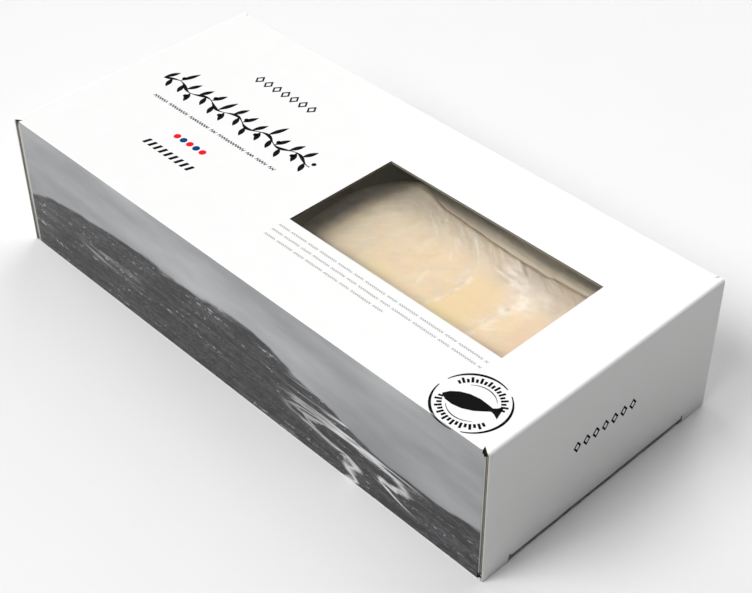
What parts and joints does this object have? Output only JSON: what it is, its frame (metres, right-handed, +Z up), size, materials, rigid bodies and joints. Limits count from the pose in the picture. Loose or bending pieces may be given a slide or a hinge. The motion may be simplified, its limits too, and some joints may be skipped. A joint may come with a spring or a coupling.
{
  "type": "window carton holding a clipfish fillet",
  "caption": "Shut folding carton of white board with a die-cut window in its top, holding a thick fillet of salted dried cod that shows through the window.",
  "frame": {"origin": "middle of the carton's footprint, on the surface that it stands on", "axes": "+X towards the end closure beside the window, -Y towards the long side with the printed band, +Z up through the window"},
  "size_m": [0.26, 0.121, 0.061],
  "materials": {
    "carton_board": "matt white coated board, grey-brown core and inside, a printed band on one long side",
    "fish_flesh": null
  },
  "bodies": {
    "root": {"carton": "carton_board", "fillet": "fish_flesh"}
  },
  "joints": []
}
